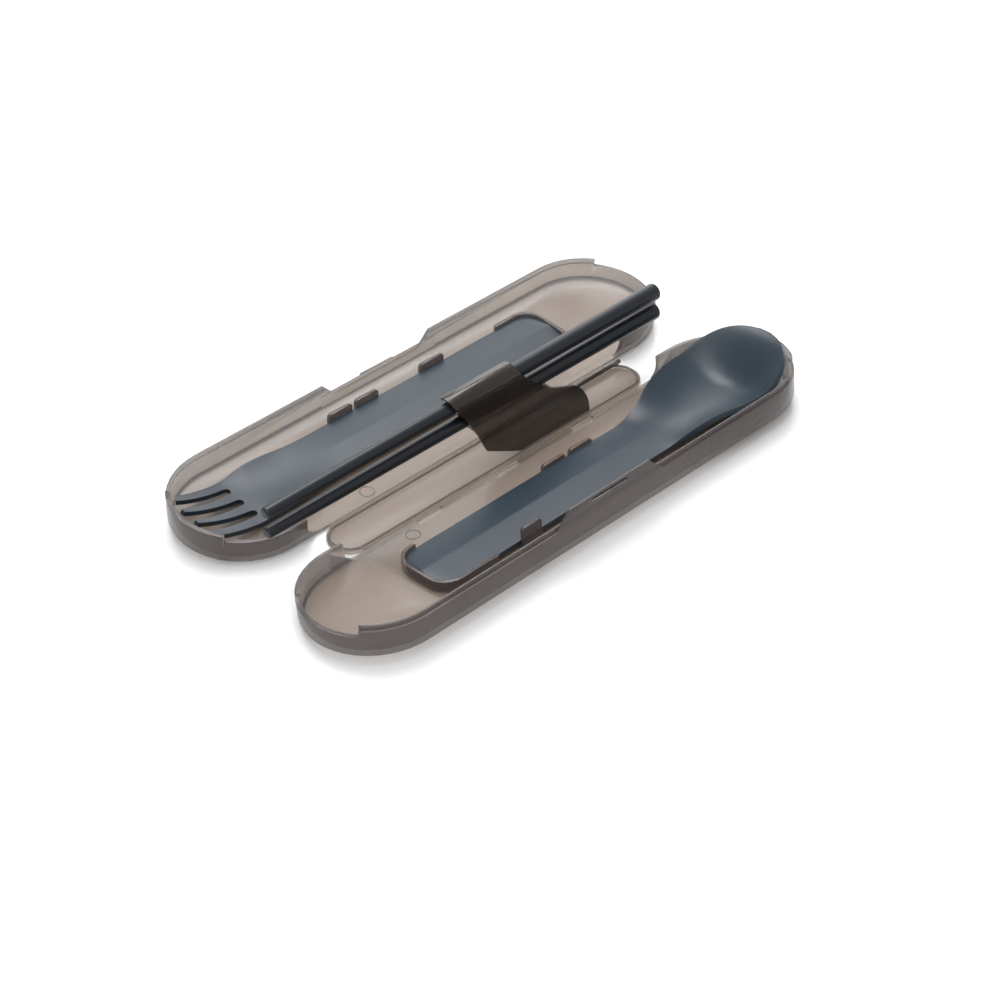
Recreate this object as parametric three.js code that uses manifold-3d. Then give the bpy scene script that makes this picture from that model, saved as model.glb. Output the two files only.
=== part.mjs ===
// Picnic cutlery: a slim clamshell case with a spoon, a fork and two chopsticks.
// Millimetres, +Z up.  X runs along the case, the spine lies on the table at the origin,
// the spoon tray opens towards -Y and the fork tray towards +Y.
import * as THREE from 'three';
import { mergeVertices } from 'three/addons/utils/BufferGeometryUtils.js';
import Module from 'manifold-3d';

const wasm = await Module();
wasm.setup();

// ---------------------------------------------------------------- driving dimensions
const caseLength = 200; // one tray, end to end
const trayWidth = 48; // one tray, hinge side to latch side
const spineWidth = 16.4; // hinge line to hinge line
const floor = 1.4; // tray floor, and the height of the hinge lines
const wall = 1.6; // tray wall
const baseFillet = 2; // outer edge between floor and wall
const trayLift = 4.1; // degrees that the springy hinges hold each open tray up
const hingeHeight = floor;
const trayDepth = spineWidth / 2 + hingeHeight; // outer floor face to the parting plane
const spineThickness = 1.2;
const spineCorner = 7;
const filmThickness = 0.35;
const filmWidth = 0.4;
const moulded = 0.3; // gap between pieces that lie face to face
const shutGap = 0.4; // gap between rims that meet when the case is shut

// rims, as heights above or below the parting plane
const shoulder = 0.4;
const lipRise = 1.8;
const lipThickness = 0.65;
const frontTongue = 2.6; // on the bowl end of the spoon tray
const rearTongue = 1.3; // on the tine end of the fork tray
const earDrop = 0.6; // rim between an end and the opening over the spine
const stepAngle = 38; // degrees on an end arc where a tongue or a recess stops
const stepGap = 0.8; // degrees between a tongue and the lip that it stops beside
const earLength = 69.5; // half length of the opening over the spine
const earFillet = 4.3;

// latch: a tab on the spoon tray snaps over a catch in a notch of the fork tray
const tabBase = 46;
const tabTop = 34;
const tabHeight = 6;
const tabThickness = 0.8;
const tabSideGap = 1.2;
const windowLength = 15;
const windowHeight = 1.4;
const windowAt = 4.5; // window centre above the parting plane
const catchDepth = 1;
const catchPlay = 0.35;
const slotLength = 10;
const slotWidth = 1.3;
const slotPitch = 33.7;
const slotAt = -1; // middle slot beside the front hinge

// spoon and fork
const handleWidth = 21.6;
const sheet = 1.6; // thickness of both utensils
const handleTop = 4.2; // long edges of a handle above the tray's outer floor face
const ridge = 0.8; // how far the middle of a handle stands above its edges
const handleCorner = 6;
const utensilAxis = 25.3; // from the hinge line
const spoonEnd = -59;
const bowlTip = 96.6;
const bowlWidest = 75;
const bowlWidth = 37.2;
const forkEnd = 59.5;
const forkTip = -95.5;
const forkHead = 24; // width over the tines
const tineLength = 20.5;
const tineGap = 3;
const tineFlare = 1.2; // how much wider a gap gets towards its tine ends, each side
const tineRise = 5.8; // tine ends above their roots
const tines = 4;
const tipGap = 1.4; // tine ends to the round end wall
const neck = 36; // where the spoon starts to widen
const bowlSink = 0.7; // bottom of the bowl below the edges of the handle
const bowlRim = 5.6; // rim of the bowl above the edges of the handle
const tipRim = 6.4; // further rise of that rim towards the tip
const tipFloor = 12.8; // rise of the bowl's middle towards the tip
const neckCrown = 0.5; // how far the neck stays arched
const headRim = 1.4; // edges of the fork's head above the edges of its handle
const headDip = 0.6; // middle of the fork's head below the edges of its handle
const headSink = 0.6; // tine roots below the edges of the handle
const pocketWall = 1.2;
const pocketGap = 0.4; // round a handle, in its pocket and between its tabs
const pocketTop = 5.2;
const spoonArms = [7, 21]; // arm lengths of the pockets, hinge side and latch side
const forkArms = [21, 14.5];
const spoonSeats = [-44, 30]; // first and last rib under each handle
const forkSeats = [-32, 44];
const hingeKeepers = [[3, 13], [15, 25]]; // tabs beside the spoon's handle, from and to
const latchKeeper = [-28, -20];
const forkKeepers = [[10, 20.5], [-18.5, -8.7], [-30, -20]]; // tabs beside the fork's handle
const forkKeeperTop = 6.5;

// chopsticks, one above the other over the spine, and their clip
const stickLength = 168;
const stickThick = 6;
const stickThin = 4;
const stickRight = 77; // thick end
const upperStick = 28; // heights of the centre lines
const stickGap = 1.6; // between the thick ends, where a shelf of the clip passes
const stickPitch = stickThick + stickGap;
const clipWall = 1;
const clipGap = 0.6; // between a stick and the clip's leaf
const clipTouch = 0.15; // between a stick and the upright of the clip
const clipBlank = [-30, 50]; // length that the clip's leaf is cut from
const lowShelfLift = 0.3; // lower shelf above the middle of its pitch
const rodRadius = 0.8;
const rodFrom = 42;
const rodTo = 65.5;
const rodAt = 5.2;

const deg = Math.PI / 180;
const endRadius = trayWidth / 2;
const endCentre = caseLength / 2 - endRadius;
const spineEnd = earLength - 3;
const rimBase = trayDepth - frontTongue - shutGap; // height that all of the wall reaches
const far = 400;

// ---------------------------------------------------------------- solids
function toSolid(geometry) {
  const bare = geometry.index ? geometry.toNonIndexed() : geometry.clone();
  bare.deleteAttribute('normal');
  bare.deleteAttribute('uv');
  const merged = mergeVertices(bare, 1e-4);
  return new wasm.Manifold(new wasm.Mesh({
    numProp: 3,
    vertProperties: new Float32Array(merged.attributes.position.array),
    triVerts: new Uint32Array(merged.index.array),
  }));
}

function toGeometry(solid) {
  const mesh = solid.getMesh();
  const geometry = new THREE.BufferGeometry();
  geometry.setAttribute('position', new THREE.BufferAttribute(new Float32Array(mesh.vertProperties), 3));
  geometry.setIndex(new THREE.BufferAttribute(new Uint32Array(mesh.triVerts), 1));
  const flat = geometry.toNonIndexed();
  flat.computeVertexNormals();
  return flat;
}

const join = (first, ...rest) => rest.reduce((sum, next) => sum.add(next), first);

function block(x0, x1, y0, y1, z0, z1) {
  const box = new THREE.BoxGeometry(x1 - x0, y1 - y0, z1 - z0);
  return toSolid(box.translate((x0 + x1) / 2, (y0 + y1) / 2, (z0 + z1) / 2));
}

// an outline in plan, raised from z0 to z1
function prism(points, z0, z1) {
  const shape = new THREE.Shape(points);
  const solid = new THREE.ExtrudeGeometry(shape, { depth: z1 - z0, bevelEnabled: false });
  return toSolid(solid.translate(0, 0, z0));
}

// an outline in the X-Z plane, carried from y0 to y1
function plate(points, y0, y1) {
  const shape = new THREE.Shape(points);
  const solid = new THREE.ExtrudeGeometry(shape, { depth: y1 - y0, bevelEnabled: false });
  return toSolid(solid.rotateX(Math.PI / 2).translate(0, y1, 0));
}

// an outline in the Y-Z plane, carried from x0 to x1
function rail(points, x0, x1) {
  const shape = new THREE.Shape(points);
  const solid = new THREE.ExtrudeGeometry(shape, { depth: x1 - x0, bevelEnabled: false });
  const turn = new THREE.Matrix4().makeBasis(
    new THREE.Vector3(0, 1, 0), new THREE.Vector3(0, 0, 1), new THREE.Vector3(1, 0, 0));
  return toSolid(solid.applyMatrix4(turn).translate(x0, 0, 0));
}

function arc(cx, cy, rx, ry, from, to, steps) {
  return Array.from({ length: steps + 1 }, (_, i) => {
    const a = (from + (to - from) * i / steps) * deg;
    return new THREE.Vector2(cx + rx * Math.cos(a), cy + ry * Math.sin(a));
  });
}

// rings of equally many points, each at its own height, closed at both ends
function loft(rings) {
  const count = rings[0].length;
  const points = rings.flat();
  const faces = [];
  for (let r = 0; r < rings.length - 1; r++) {
    for (let i = 0; i < count; i++) {
      const j = (i + 1) % count;
      const [a, b, c, d] = [r * count + i, r * count + j, (r + 1) * count + j, (r + 1) * count + i];
      faces.push([a, b, c], [a, c, d]);
    }
  }
  const cap = THREE.ShapeUtils.triangulateShape(rings[0].map((p) => new THREE.Vector2(p.x, p.y)), []);
  const top = (rings.length - 1) * count;
  for (const [a, b, c] of cap) faces.push([a, c, b], [top + a, top + b, top + c]);
  const corners = faces.flatMap((f) => f.flatMap((i) => [points[i].x, points[i].y, points[i].z]));
  const geometry = new THREE.BufferGeometry();
  geometry.setAttribute('position', new THREE.BufferAttribute(new Float32Array(corners), 3));
  return toSolid(geometry);
}

// ---------------------------------------------------------------- trays
// A tray is built with its hinge line on X, out along +Y, its outer floor face at z = 0 and
// the parting plane at z = trayDepth.  Insets are measured inwards from the outer outline.
function stadium(inset) {
  const r = endRadius - inset;
  return [
    ...arc(endCentre, endRadius, r, r, -90, 90, 22),
    ...arc(-endCentre, endRadius, r, r, 90, 270, 22),
  ];
}

const level = (inset, z) => stadium(inset).map((p) => new THREE.Vector3(p.x, p.y, z));

function band(outer, inner, z0, z1) {
  return prism(stadium(outer), z0, z1).subtract(prism(stadium(inner), z0 - 1, z1 + 1));
}

// the part of a tray beyond a ray from an end centre; turn 0 points straight out of that end,
// a positive turn towards the latch
function sector(side, from, to) {
  const point = (turn) => new THREE.Vector2(
    side * (endCentre + far * Math.cos(turn * deg)), endRadius + far * Math.sin(turn * deg));
  const apex = new THREE.Vector2(side * endCentre, endRadius);
  const corners = [apex, point(from), point((from + to) / 2), point(to)];
  return prism(side > 0 ? corners : corners.reverse(), -far, far);
}

function shell() {
  const outside = [0, 30, 60, 90].map((a) => level(
    baseFillet * (1 - Math.sin(a * deg)), baseFillet * (1 - Math.cos(a * deg))));
  outside.push(level(0, rimBase));
  const hollow = [0, 45, 90].map((a) => level(
    wall + baseFillet / 2 * (1 - Math.sin(a * deg)), floor + baseFillet / 2 * (1 - Math.cos(a * deg))));
  hollow.push(level(wall, rimBase + 1));
  return loft(outside).subtract(loft(hollow));
}

// a full wall up to one height, cut to a zone
const rimTo = (z, zone, outer = 0, inner = wall) => band(outer, inner, rimBase - 0.5, z).intersect(zone);

// latch side: a shelf with a lip on it; tongueSide end: a tongue; other end: a recess for the
// other tray's tongue.  The lip is the inner or the outer part of the wall.
function rim({ tongueSide, shelf, lipTop, lipOuter, lipInner, tongue, recess }) {
  const latchZone = block(-endCentre, endCentre, endRadius, far, 0, far)
    .add(sector(1, stepAngle, 91)).add(sector(-1, stepAngle, 91));
  const earZone = sector(1, -91, -stepAngle).add(sector(-1, -91, -stepAngle))
    .add(block(-endCentre, endCentre, -1, wall + 1, 0, far));
  return join(rimTo(shelf, latchZone), rimTo(lipTop, latchZone, lipOuter, lipInner),
    rimTo(trayDepth - earDrop, earZone),
    rimTo(shelf, sector(tongueSide, -stepAngle + stepGap, stepAngle + 0.01)),
    rimTo(tongue, sector(tongueSide, -stepAngle + stepGap, stepAngle - stepGap)),
    rimTo(recess, sector(-tongueSide, -stepAngle - 0.01, stepAngle + 0.01)));
}

// the opening over the spine: the wall goes between the ears, and the floor stops short of the film
function spineOpening() {
  const top = far;
  const ears = [
    ...arc(earLength - earFillet, floor + earFillet, earFillet, earFillet, -90, 0, 5),
    new THREE.Vector2(earLength, top),
    new THREE.Vector2(-earLength, top),
    ...arc(-earLength + earFillet, floor + earFillet, earFillet, earFillet, 180, 270, 5),
  ];
  const filmEdge = filmWidth / 2 + moulded;
  return plate(ears, -2, wall + baseFillet / 2)
    .add(block(-spineEnd - moulded, spineEnd + moulded, -2, filmEdge, -2, far));
}

// a U-shaped wall round the end of a handle, with one arm on the hinge side and one on the
// latch side; side is the end that it closes
function pocket(end, side, hingeArm, latchArm) {
  const outline = (grow, extra) => {
    const half = handleWidth / 2 + grow;
    const r = handleCorner + grow;
    const x = Math.abs(end) + grow;
    return [
      new THREE.Vector2(Math.abs(end) - hingeArm - extra, utensilAxis - half),
      ...arc(x - r, utensilAxis - half + r, r, r, -90, 0, 6),
      ...arc(x - r, utensilAxis + half - r, r, r, 0, 90, 6),
      new THREE.Vector2(Math.abs(end) - latchArm - extra, utensilAxis + half),
    ];
  };
  const turned = (points) => (side > 0 ? points : points.map((p) => new THREE.Vector2(-p.x, p.y)).reverse());
  return prism(turned(outline(pocketGap + pocketWall, 0)), floor - 0.5, pocketTop)
    .subtract(prism(turned(outline(pocketGap, 40)), floor - 1, pocketTop + 1));
}

// an upright tab beside a handle, with its upper corners cut round
function keeper(x0, x1, out, top) {
  const r = 1.2;
  return plate([
    new THREE.Vector2(x0, floor - 0.5),
    new THREE.Vector2(x1, floor - 0.5),
    ...arc(x1 - r, top - r, r, r, 0, 90, 4),
    ...arc(x0 + r, top - r, r, r, 90, 180, 4),
  ], out, out + pocketWall);
}

// low ribs that a handle rests on
function seats(from, to) {
  const ribs = [];
  for (const x of [from, (from + to) / 2, to]) {
    ribs.push(block(x, x + pocketWall, utensilAxis - handleWidth / 3, utensilAxis + handleWidth / 3,
      floor - 0.5, handleTop - sheet - moulded));
  }
  return join(...ribs);
}

const hingeEdge = utensilAxis - handleWidth / 2 - pocketGap - pocketWall;
const latchEdge = utensilAxis + handleWidth / 2 + pocketGap;
const lipSplit = lipThickness + moulded;

function spoonTray() {
  const shelf = trayDepth + shoulder;
  const tabLow = shelf - 2;
  const tab = plate([
    new THREE.Vector2(-tabBase / 2, tabLow), new THREE.Vector2(tabBase / 2, tabLow),
    new THREE.Vector2(tabBase / 2, shelf),
    ...arc(tabTop / 2, trayDepth + tabHeight - 1, 1, 1, 20, 90, 3),
    ...arc(-tabTop / 2, trayDepth + tabHeight - 1, 1, 1, 90, 160, 3),
    new THREE.Vector2(-tabBase / 2, shelf),
  ], trayWidth - tabThickness, trayWidth)
    .subtract(block(-windowLength / 2, windowLength / 2, trayWidth - tabThickness - 1, trayWidth + 1,
      trayDepth + windowAt - windowHeight / 2, trayDepth + windowAt + windowHeight / 2));
  const inside = join(pocket(spoonEnd, -1, ...spoonArms), seats(...spoonSeats),
    ...hingeKeepers.map((span) => keeper(...span, hingeEdge, pocketTop)),
    keeper(...latchKeeper, latchEdge, trayDepth - moulded));
  const edge = rim({ tongueSide: 1, shelf, lipTop: trayDepth + lipRise, lipOuter: lipSplit, lipInner: wall,
    tongue: trayDepth + frontTongue, recess: trayDepth - rearTongue - shutGap });
  let tray = join(shell(), edge, tab, inside).subtract(spineOpening());
  for (const step of [-1, 0, 1]) {
    const x = slotAt + step * slotPitch;
    const y = filmWidth / 2 + 2 * moulded;
    tray = tray.subtract(block(x - slotLength / 2, x + slotLength / 2, y, y + slotWidth, -1, floor + 1));
  }
  return tray;
}

function forkTray() {
  const low = trayDepth - tabHeight - shutGap;
  const notch = plate([
    new THREE.Vector2(-tabTop / 2 - tabSideGap, low), new THREE.Vector2(tabTop / 2 + tabSideGap, low),
    new THREE.Vector2(tabBase / 2 + tabSideGap, trayDepth),
    new THREE.Vector2(tabBase / 2 + tabSideGap, far),
    new THREE.Vector2(-tabBase / 2 - tabSideGap, far),
    new THREE.Vector2(-tabBase / 2 - tabSideGap, trayDepth),
  ], trayWidth - wall - 1, trayWidth + 1);
  const face = trayWidth - tabThickness - moulded;
  const reach = tabBase / 2 + tabSideGap + 1;
  const catchAt = trayDepth - windowAt;
  const backWall = block(-reach, reach, face - tabThickness, face, floor - 0.5, catchAt + windowHeight / 2);
  const bump = block(-windowLength / 2 + catchPlay, windowLength / 2 - catchPlay,
    face - 0.2, face + catchDepth,
    catchAt - windowHeight / 2 + catchPlay, catchAt + windowHeight / 2 - catchPlay);
  const inside = join(pocket(forkEnd, 1, ...forkArms), seats(...forkSeats),
    ...forkKeepers.map((span) => keeper(...span, latchEdge, forkKeeperTop)));
  const edge = rim({ tongueSide: -1,
    shelf: trayDepth - lipRise - shutGap, lipTop: trayDepth - shoulder - shutGap,
    lipOuter: 0, lipInner: lipThickness,
    tongue: trayDepth + rearTongue, recess: trayDepth - frontTongue - shutGap });
  return join(shell(), edge).subtract(notch).add(join(backWall, bump, inside)).subtract(spineOpening());
}

// ---------------------------------------------------------------- spine and hinges
function spine() {
  const half = spineWidth / 2 - filmWidth / 2 - moulded;
  const r = spineCorner;
  const points = [
    ...arc(spineEnd - r, -half + r, r, r, -90, 0, 6),
    ...arc(spineEnd - r, half - r, r, r, 0, 90, 6),
    ...arc(-spineEnd + r, half - r, r, r, 90, 180, 6),
    ...arc(-spineEnd + r, -half + r, r, r, 180, 270, 6),
  ];
  return prism(points, hingeHeight - spineThickness, hingeHeight);
}

function film(side) {
  const y = side * spineWidth / 2;
  const x = spineEnd - 6;
  return block(-x, x, y - filmWidth / 2, y + filmWidth / 2, hingeHeight - filmThickness, hingeHeight);
}

// ---------------------------------------------------------------- spoon and fork
// A utensil is a sheet of one thickness.  Its upper face follows top(x, u), where u runs from
// -1 to 1 across the local half width.
function utensil(stations, halfWidth, top, axis, across) {
  const rows = stations.map((x) => across.map((u) => [x, axis + u * halfWidth(x), top(x, u)]));
  const count = across.length;
  const upper = rows.flat();
  const lower = upper.map(([x, y, z]) => [x, y, z - sheet]);
  const points = [...upper, ...lower];
  const faces = [];
  const at = (r, c, down) => r * count + c + (down ? upper.length : 0);
  const quad = (a, b, c, d) => faces.push([a, b, c], [a, c, d]);
  const last = rows.length - 1;
  for (let r = 0; r < last; r++) {
    for (let c = 0; c < count - 1; c++) {
      quad(at(r, c), at(r + 1, c), at(r + 1, c + 1), at(r, c + 1));
      quad(at(r, c, 1), at(r, c + 1, 1), at(r + 1, c + 1, 1), at(r + 1, c, 1));
    }
    quad(at(r, 0), at(r, 0, 1), at(r + 1, 0, 1), at(r + 1, 0));
    quad(at(r, count - 1), at(r + 1, count - 1), at(r + 1, count - 1, 1), at(r, count - 1, 1));
  }
  for (let c = 0; c < count - 1; c++) {
    quad(at(0, c), at(0, c + 1), at(0, c + 1, 1), at(0, c, 1));
    quad(at(last, c), at(last, c, 1), at(last, c + 1, 1), at(last, c + 1));
  }
  const geometry = new THREE.BufferGeometry();
  const corners = faces.flatMap((f) => f.flatMap((i) => points[i]));
  geometry.setAttribute('position', new THREE.BufferAttribute(new Float32Array(corners), 3));
  return toSolid(geometry);
}

const smooth = (from, to, x) => THREE.MathUtils.smoothstep(x, from, to);
const across = [-1, -0.85, -0.65, -0.4, -0.15, 0, 0.15, 0.4, 0.65, 0.85, 1];

// half width of a handle whose corners at its end are round
function cornerWidth(x, end) {
  const d = Math.min(Math.abs(x - end), handleCorner);
  return handleWidth / 2 - handleCorner + Math.sqrt(handleCorner ** 2 - (handleCorner - d) ** 2);
}

function spoon() {
  const widest = bowlWidest;
  const halfWidth = (x) => {
    if (x <= neck) return cornerWidth(x, spoonEnd);
    const flare = handleWidth / 2 + (bowlWidth - handleWidth) / 2 * smooth(neck, widest - 3, x);
    if (x <= widest) return flare;
    const t = (x - widest) / (bowlTip - widest);
    return bowlWidth / 2 * Math.sqrt(Math.max(1 - t ** 2.05, 0.02));
  };
  const edge = (x) => handleTop + bowlRim * smooth(neck - 1, widest - 15, x)
    + tipRim * smooth(widest - 3, bowlTip, x);
  const middle = (x) => handleTop + ridge * (1 - smooth(neck - 20, neck + 6, x))
    + neckCrown * smooth(neck - 14, neck, x) * (1 - smooth(neck + 4, widest - 12, x))
    - bowlSink * smooth(neck, widest - 12, x) + tipFloor * smooth(widest + 1, bowlTip + 1, x);
  const bend = (x) => 1 + smooth(neck - 14, neck + 8, x);
  const top = (x, u) => middle(x) + (edge(x) - middle(x)) * Math.abs(u) ** bend(x);
  const stations = [0, 0.3, 1.3, 3, handleCorner].map((d) => spoonEnd + d);
  for (let x = -40; x < neck - 10; x += 22) stations.push(x);
  for (let x = neck - 10; x < widest; x += 4.5) stations.push(x);
  for (let i = 0; i <= 8; i++) stations.push(widest + (bowlTip - widest) * Math.sin(i * 11.25 * deg));
  return utensil(stations, halfWidth, top, utensilAxis, across);
}

function fork() {
  const root = forkTip + tineLength;
  const halfWidth = (x) => (x > -40 ? cornerWidth(x, forkEnd)
    : handleWidth / 2 + (forkHead - handleWidth) / 2 * smooth(45, 66, -x));
  const rise = (x) => tineRise * Math.max((root - x) / tineLength, 0) ** 1.8
    - headSink * smooth(56, -root, -x);
  const edge = (x) => handleTop + headRim * smooth(40, 66, -x) * (1 - smooth(66, -root, -x)) + rise(x);
  const middle = (x) => handleTop + ridge * (1 - smooth(30, 48, -x)) - headDip * smooth(44, 60, -x)
    * (1 - smooth(62, -root, -x)) + rise(x);
  const bend = (x) => 1 + smooth(30, 50, -x);
  const top = (x, u) => middle(x) + (edge(x) - middle(x)) * Math.abs(u) ** bend(x);
  const stations = [];
  for (let x = forkTip; x < -36; x += 4.1) stations.push(x);
  for (let x = -30; x < 50; x += 20) stations.push(x);
  for (const d of [handleCorner, 3, 1.3, 0.3, 0]) stations.push(forkEnd - d);
  let solid = utensil(stations, halfWidth, top, utensilAxis, across);
  const pitch = (forkHead + tineGap) / tines;
  for (let i = 1; i < tines; i++) {
    const y = utensilAxis + (i - tines / 2) * pitch;
    solid = solid.subtract(prism([
      ...arc(root - tineGap / 2, y, tineGap / 2, tineGap / 2, -90, 90, 6),
      new THREE.Vector2(forkTip - 5, y + tineGap / 2 + tineFlare),
      new THREE.Vector2(forkTip - 5, y - tineGap / 2 - tineFlare),
    ], -5, 30));
  }
  return solid.intersect(prism(stadium(wall + tipGap), -5, 30));
}

// ---------------------------------------------------------------- chopsticks and clip
const stickRadiusAt = (x) => (stickThick - (stickThick - stickThin) * (stickRight - x) / stickLength) / 2;

function chopstick() {
  const round = 0.7;
  const turned = new THREE.LatheGeometry([
    new THREE.Vector2(0, 0),
    ...arc(stickThin / 2 - round, round, round, round, -90, 0, 2).slice(1),
    ...arc(stickThick / 2 - round, stickLength - round, round, round, 0, 90, 2),
    new THREE.Vector2(0, stickLength),
  ], 16);
  return toSolid(turned.rotateZ(-Math.PI / 2).translate(stickRight - stickLength, 0, 0));
}

// a strip of one thickness along a curve in Y-Z
function strip(curve, steps, thickness) {
  const left = [];
  const right = [];
  for (let i = 0; i <= steps; i++) {
    const p = curve.getPoint(i / steps);
    const t = curve.getTangent(i / steps);
    left.push(new THREE.Vector2(p.x - t.y * thickness / 2, p.y + t.x * thickness / 2));
    right.push(new THREE.Vector2(p.x + t.y * thickness / 2, p.y - t.x * thickness / 2));
  }
  return [...right, ...left.reverse()];
}

// one leaf: it leans in from its foot, runs up beside the sticks and curls over the upper one,
// with two shelves that the sticks lie on
function chopstickClip() {
  const reach = stickRadiusAt(40) + clipTouch + clipWall / 2;
  const crown = upperStick + stickRadiusAt(40) + clipGap + clipWall / 2;
  const foot = hingeHeight + moulded;
  const curve = new THREE.CatmullRomCurve3([
    [-6.3, foot - 1], [-5.7, 5], [-4.2, 10], [-reach, 14], [-reach, upperStick - stickPitch],
    [-reach, upperStick], [-reach + 0.7, crown - 1.4], [-0.2, crown], [2.4, crown - 0.8],
  ].map(([y, z]) => new THREE.Vector3(y, z, 0)));
  const shelves = [0, 1].map((i) => {
    const z = upperStick - stickPitch * (i + 0.5) + i * lowShelfLift;
    return block(...clipBlank, -reach, 1.5, z - clipWall / 2, z + clipWall / 2);
  });
  const flank = new THREE.SplineCurve([
    [39.3, foot], [39.2, 7], [36.4, 11.8], [31, 14], [24.5, 17], [16.9, 23.4], [11.8, 28.6], [9.5, 33.5],
  ].map(([x, z]) => new THREE.Vector2(x, z)));
  const outline = [
    new THREE.Vector2(8, foot), ...flank.getPoints(18), new THREE.Vector2(-18.4, 33.5),
    new THREE.Vector2(-16.6, 29), new THREE.Vector2(-11.9, 21.9), new THREE.Vector2(-7.4, 14),
    new THREE.Vector2(-5.3, 8),
  ];
  return join(rail(strip(curve, 26, clipWall), ...clipBlank), ...shelves).intersect(plate(outline, -20, 20));
}

function clipRod() {
  const rod = new THREE.CylinderGeometry(rodRadius, rodRadius, rodTo - rodFrom, 12);
  return toSolid(rod.rotateZ(Math.PI / 2).translate(
    (rodFrom + rodTo) / 2, rodAt, hingeHeight + rodRadius + moulded));
}

// ---------------------------------------------------------------- materials and assembly
const finish = (color, roughness, opacity = 1) => new THREE.MeshStandardMaterial(
  { color, roughness, metalness: 0, opacity, transparent: opacity < 1 });
const smokyPlastic = finish(0x8a7f78, 0.3, 0.7);
const darkPlastic = finish(0x2b2622, 0.25, 0.85);
const slatePlastic = finish(0x4b5a68, 0.5);
const navyPlastic = finish(0x1b222d, 0.35);

function mesh(name, solid, material) {
  const made = new THREE.Mesh(toGeometry(solid), material);
  made.name = name;
  return made;
}

// everything in a tray hangs on its hinge line and is tipped up by trayLift; the spoon tray is
// turned half round, so its outward direction is -Y
function trayGroup(side) {
  const group = new THREE.Group();
  group.position.set(0, side * spineWidth / 2, hingeHeight);
  group.rotation.set(side * trayLift * deg, 0, 0);
  return group;
}

// solids built outwards along +Y from the hinge line, mirrored for the spoon tray
function placed(solid, side) {
  const down = solid.translate([0, 0, -hingeHeight]);
  return side > 0 ? down : down.mirror([0, 1, 0]);
}

const group = new THREE.Group();
const rear = trayGroup(1);
rear.add(mesh('rear_tray', placed(forkTray(), 1), smokyPlastic));
rear.add(mesh('fork', placed(fork(), 1), slatePlastic));
const front = trayGroup(-1);
front.add(mesh('front_tray', placed(spoonTray(), -1), smokyPlastic));
front.add(mesh('spoon', placed(spoon(), -1), slatePlastic));
group.add(front, rear);
group.add(mesh('spine', spine(), smokyPlastic));
group.add(mesh('front_hinge_film', film(-1), smokyPlastic));
group.add(mesh('rear_hinge_film', film(1), smokyPlastic));
group.add(mesh('chopstick_clip', chopstickClip(), darkPlastic));
group.add(mesh('clip_rod', clipRod(), darkPlastic));
for (const [name, z] of [['chopstick_upper', upperStick], ['chopstick_lower', upperStick - stickPitch]]) {
  const stick = mesh(name, chopstick(), navyPlastic);
  stick.position.set(0, 0, z);
  group.add(stick);
}

export default group;
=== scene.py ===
"""Looks of the picnic cutlery: a smoky travel case, spoon, fork and chopsticks."""

from __future__ import annotations

import logging
import math
from collections.abc import Callable, Iterator
from contextlib import contextmanager
from dataclasses import dataclass
from enum import Enum

import bmesh
import bpy
from mathutils import Matrix, Vector


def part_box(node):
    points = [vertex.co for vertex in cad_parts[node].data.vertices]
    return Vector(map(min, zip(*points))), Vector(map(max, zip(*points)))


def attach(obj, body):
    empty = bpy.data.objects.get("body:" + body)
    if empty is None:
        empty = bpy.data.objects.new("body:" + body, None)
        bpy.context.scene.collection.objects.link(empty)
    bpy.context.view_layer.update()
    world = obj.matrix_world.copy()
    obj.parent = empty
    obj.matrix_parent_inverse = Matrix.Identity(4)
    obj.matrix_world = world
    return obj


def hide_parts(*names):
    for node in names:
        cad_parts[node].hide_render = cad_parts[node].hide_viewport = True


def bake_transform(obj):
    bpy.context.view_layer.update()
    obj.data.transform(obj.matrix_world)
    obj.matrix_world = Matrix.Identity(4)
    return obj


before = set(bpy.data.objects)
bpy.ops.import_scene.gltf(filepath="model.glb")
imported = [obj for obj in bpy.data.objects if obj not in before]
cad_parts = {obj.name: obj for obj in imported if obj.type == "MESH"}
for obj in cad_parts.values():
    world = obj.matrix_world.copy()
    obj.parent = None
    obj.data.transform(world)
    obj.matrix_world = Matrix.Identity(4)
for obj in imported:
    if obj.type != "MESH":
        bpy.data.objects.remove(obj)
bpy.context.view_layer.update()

Color = tuple[float, float, float]
Socket = bpy.types.NodeSocket

MM = 0.001
FLOOR_ZONE = (5.6 * MM, 6.8 * MM)  # heights between which a level face turns from floor to rim, and from the floor's tone to the walls' painted shade
FLOOR_LEVEL = (0.93, 0.995)  # how level a face is where it starts to count as floor, and where it does
TRAY_AXIS = (76 * MM, 32.2 * MM)  # an end centre of a tray, along and out
WALL_ZONE = (20.5 * MM, 21.5 * MM)  # distances from the axis where a tray's wall begins
INNER_FACING = 1e-4  # facing value beyond which a face counts as an inner one, which takes the painted backlight
INNER_LEVEL = (0.1, 0.3)  # how level an inner face may be before it loses its painted backlight and takes the rim's painted shade
CUT_FROM, CUT_TO = -6.0, 24.0  # heights that the fork's cutters reach, in millimetres
CUT_PAST = 5.0  # how far a gap between tines is cut past their ends, in millimetres
ROUND_STEPS = 48

# surface texture of every moulded finish
MOTTLE_SCALE, MOTTLE_DETAIL = 45.0, 4.0
GRAIN_DETAIL = 6.0
HAIRLINE_STRETCH = (60.0, 1400.0, 1400.0)  # hairlines run along the case
HAIRLINE_DETAIL = 3.0
ROUGHNESS_SWING = 0.12  # how much the mottling changes the roughness
RELIEF_DEPTH = 0.1 * MM
COAT_ROUGHNESS = 0.12
PLASTIC_IOR = 1.49
EDGE_BLEND = 0.25  # how soon a see-through finish turns dense edge on

log = logging.getLogger("picnic_cutlery")


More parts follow.
